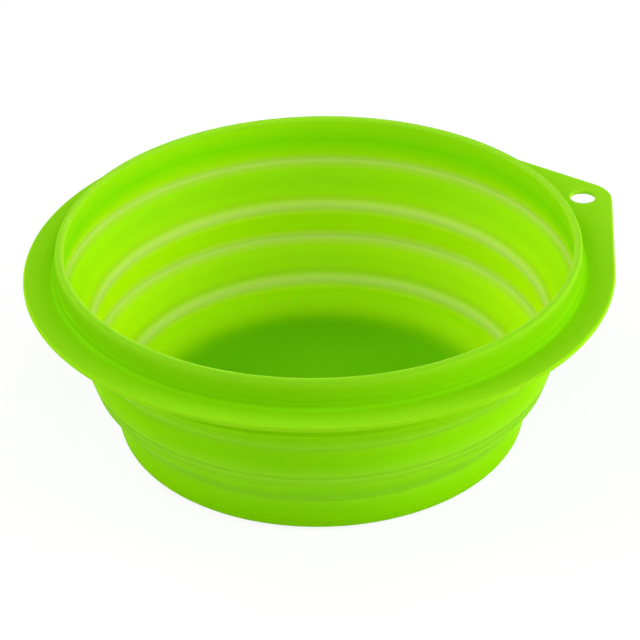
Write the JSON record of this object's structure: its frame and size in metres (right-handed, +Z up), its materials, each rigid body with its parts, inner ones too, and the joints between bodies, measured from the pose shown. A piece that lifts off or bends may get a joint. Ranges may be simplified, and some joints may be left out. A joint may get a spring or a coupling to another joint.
{
  "type": "collapsible bowl",
  "caption": "Round silicone travel bowl with a flanged rim and hang tab, whose wall folds down flat in two steps.",
  "frame": {"origin": "centre of the bowl's flat underside, on the bowl's axis, where it rests on the table", "axes": "+Z up along the bowl's axis, out of the mouth; +X from the axis towards the hang tab; +Y completes the right-handed set"},
  "size_m": [0.1543, 0.1454, 0.0517],
  "materials": {
    "rim_lip": "satin translucent silicone, lime green",
    "rim_collar": "satin translucent silicone, lime green",
    "flange_with_hang_tab": "satin translucent silicone, lime green",
    "folding_bands": "satin translucent silicone, lime green",
    "fold_hinges": "thin translucent silicone, pale lime green",
    "middle_ring": "satin translucent silicone, lime green",
    "base_cup": "satin translucent silicone, lime green"
  },
  "bodies": {
    "base": {"base_floor": "base_cup", "base_ring": "base_cup", "base_fold_hinge": "fold_hinges", "lower_folding_band": "folding_bands"},
    "ring": {"ring_lower_fold_hinge": "fold_hinges", "middle_ring": "middle_ring", "ring_upper_fold_hinge": "fold_hinges", "upper_folding_band": "folding_bands"},
    "rim": {"rim_fold_hinge": "fold_hinges", "rim_collar": "rim_collar", "flange_with_hang_tab": "flange_with_hang_tab", "rim_lip": "rim_lip"}
  },
  "joints": [
    {"name": "lower_fold", "type": "slide", "parent": "base", "child": "ring", "axis": [0, 0, 1], "range_m": [-0.0179, 0], "deforming": ["lower_folding_band"]},
    {"name": "upper_fold", "type": "slide", "parent": "ring", "child": "rim", "axis": [0, 0, 1], "range_m": [-0.0191, 0], "deforming": ["upper_folding_band"]}
  ]
}
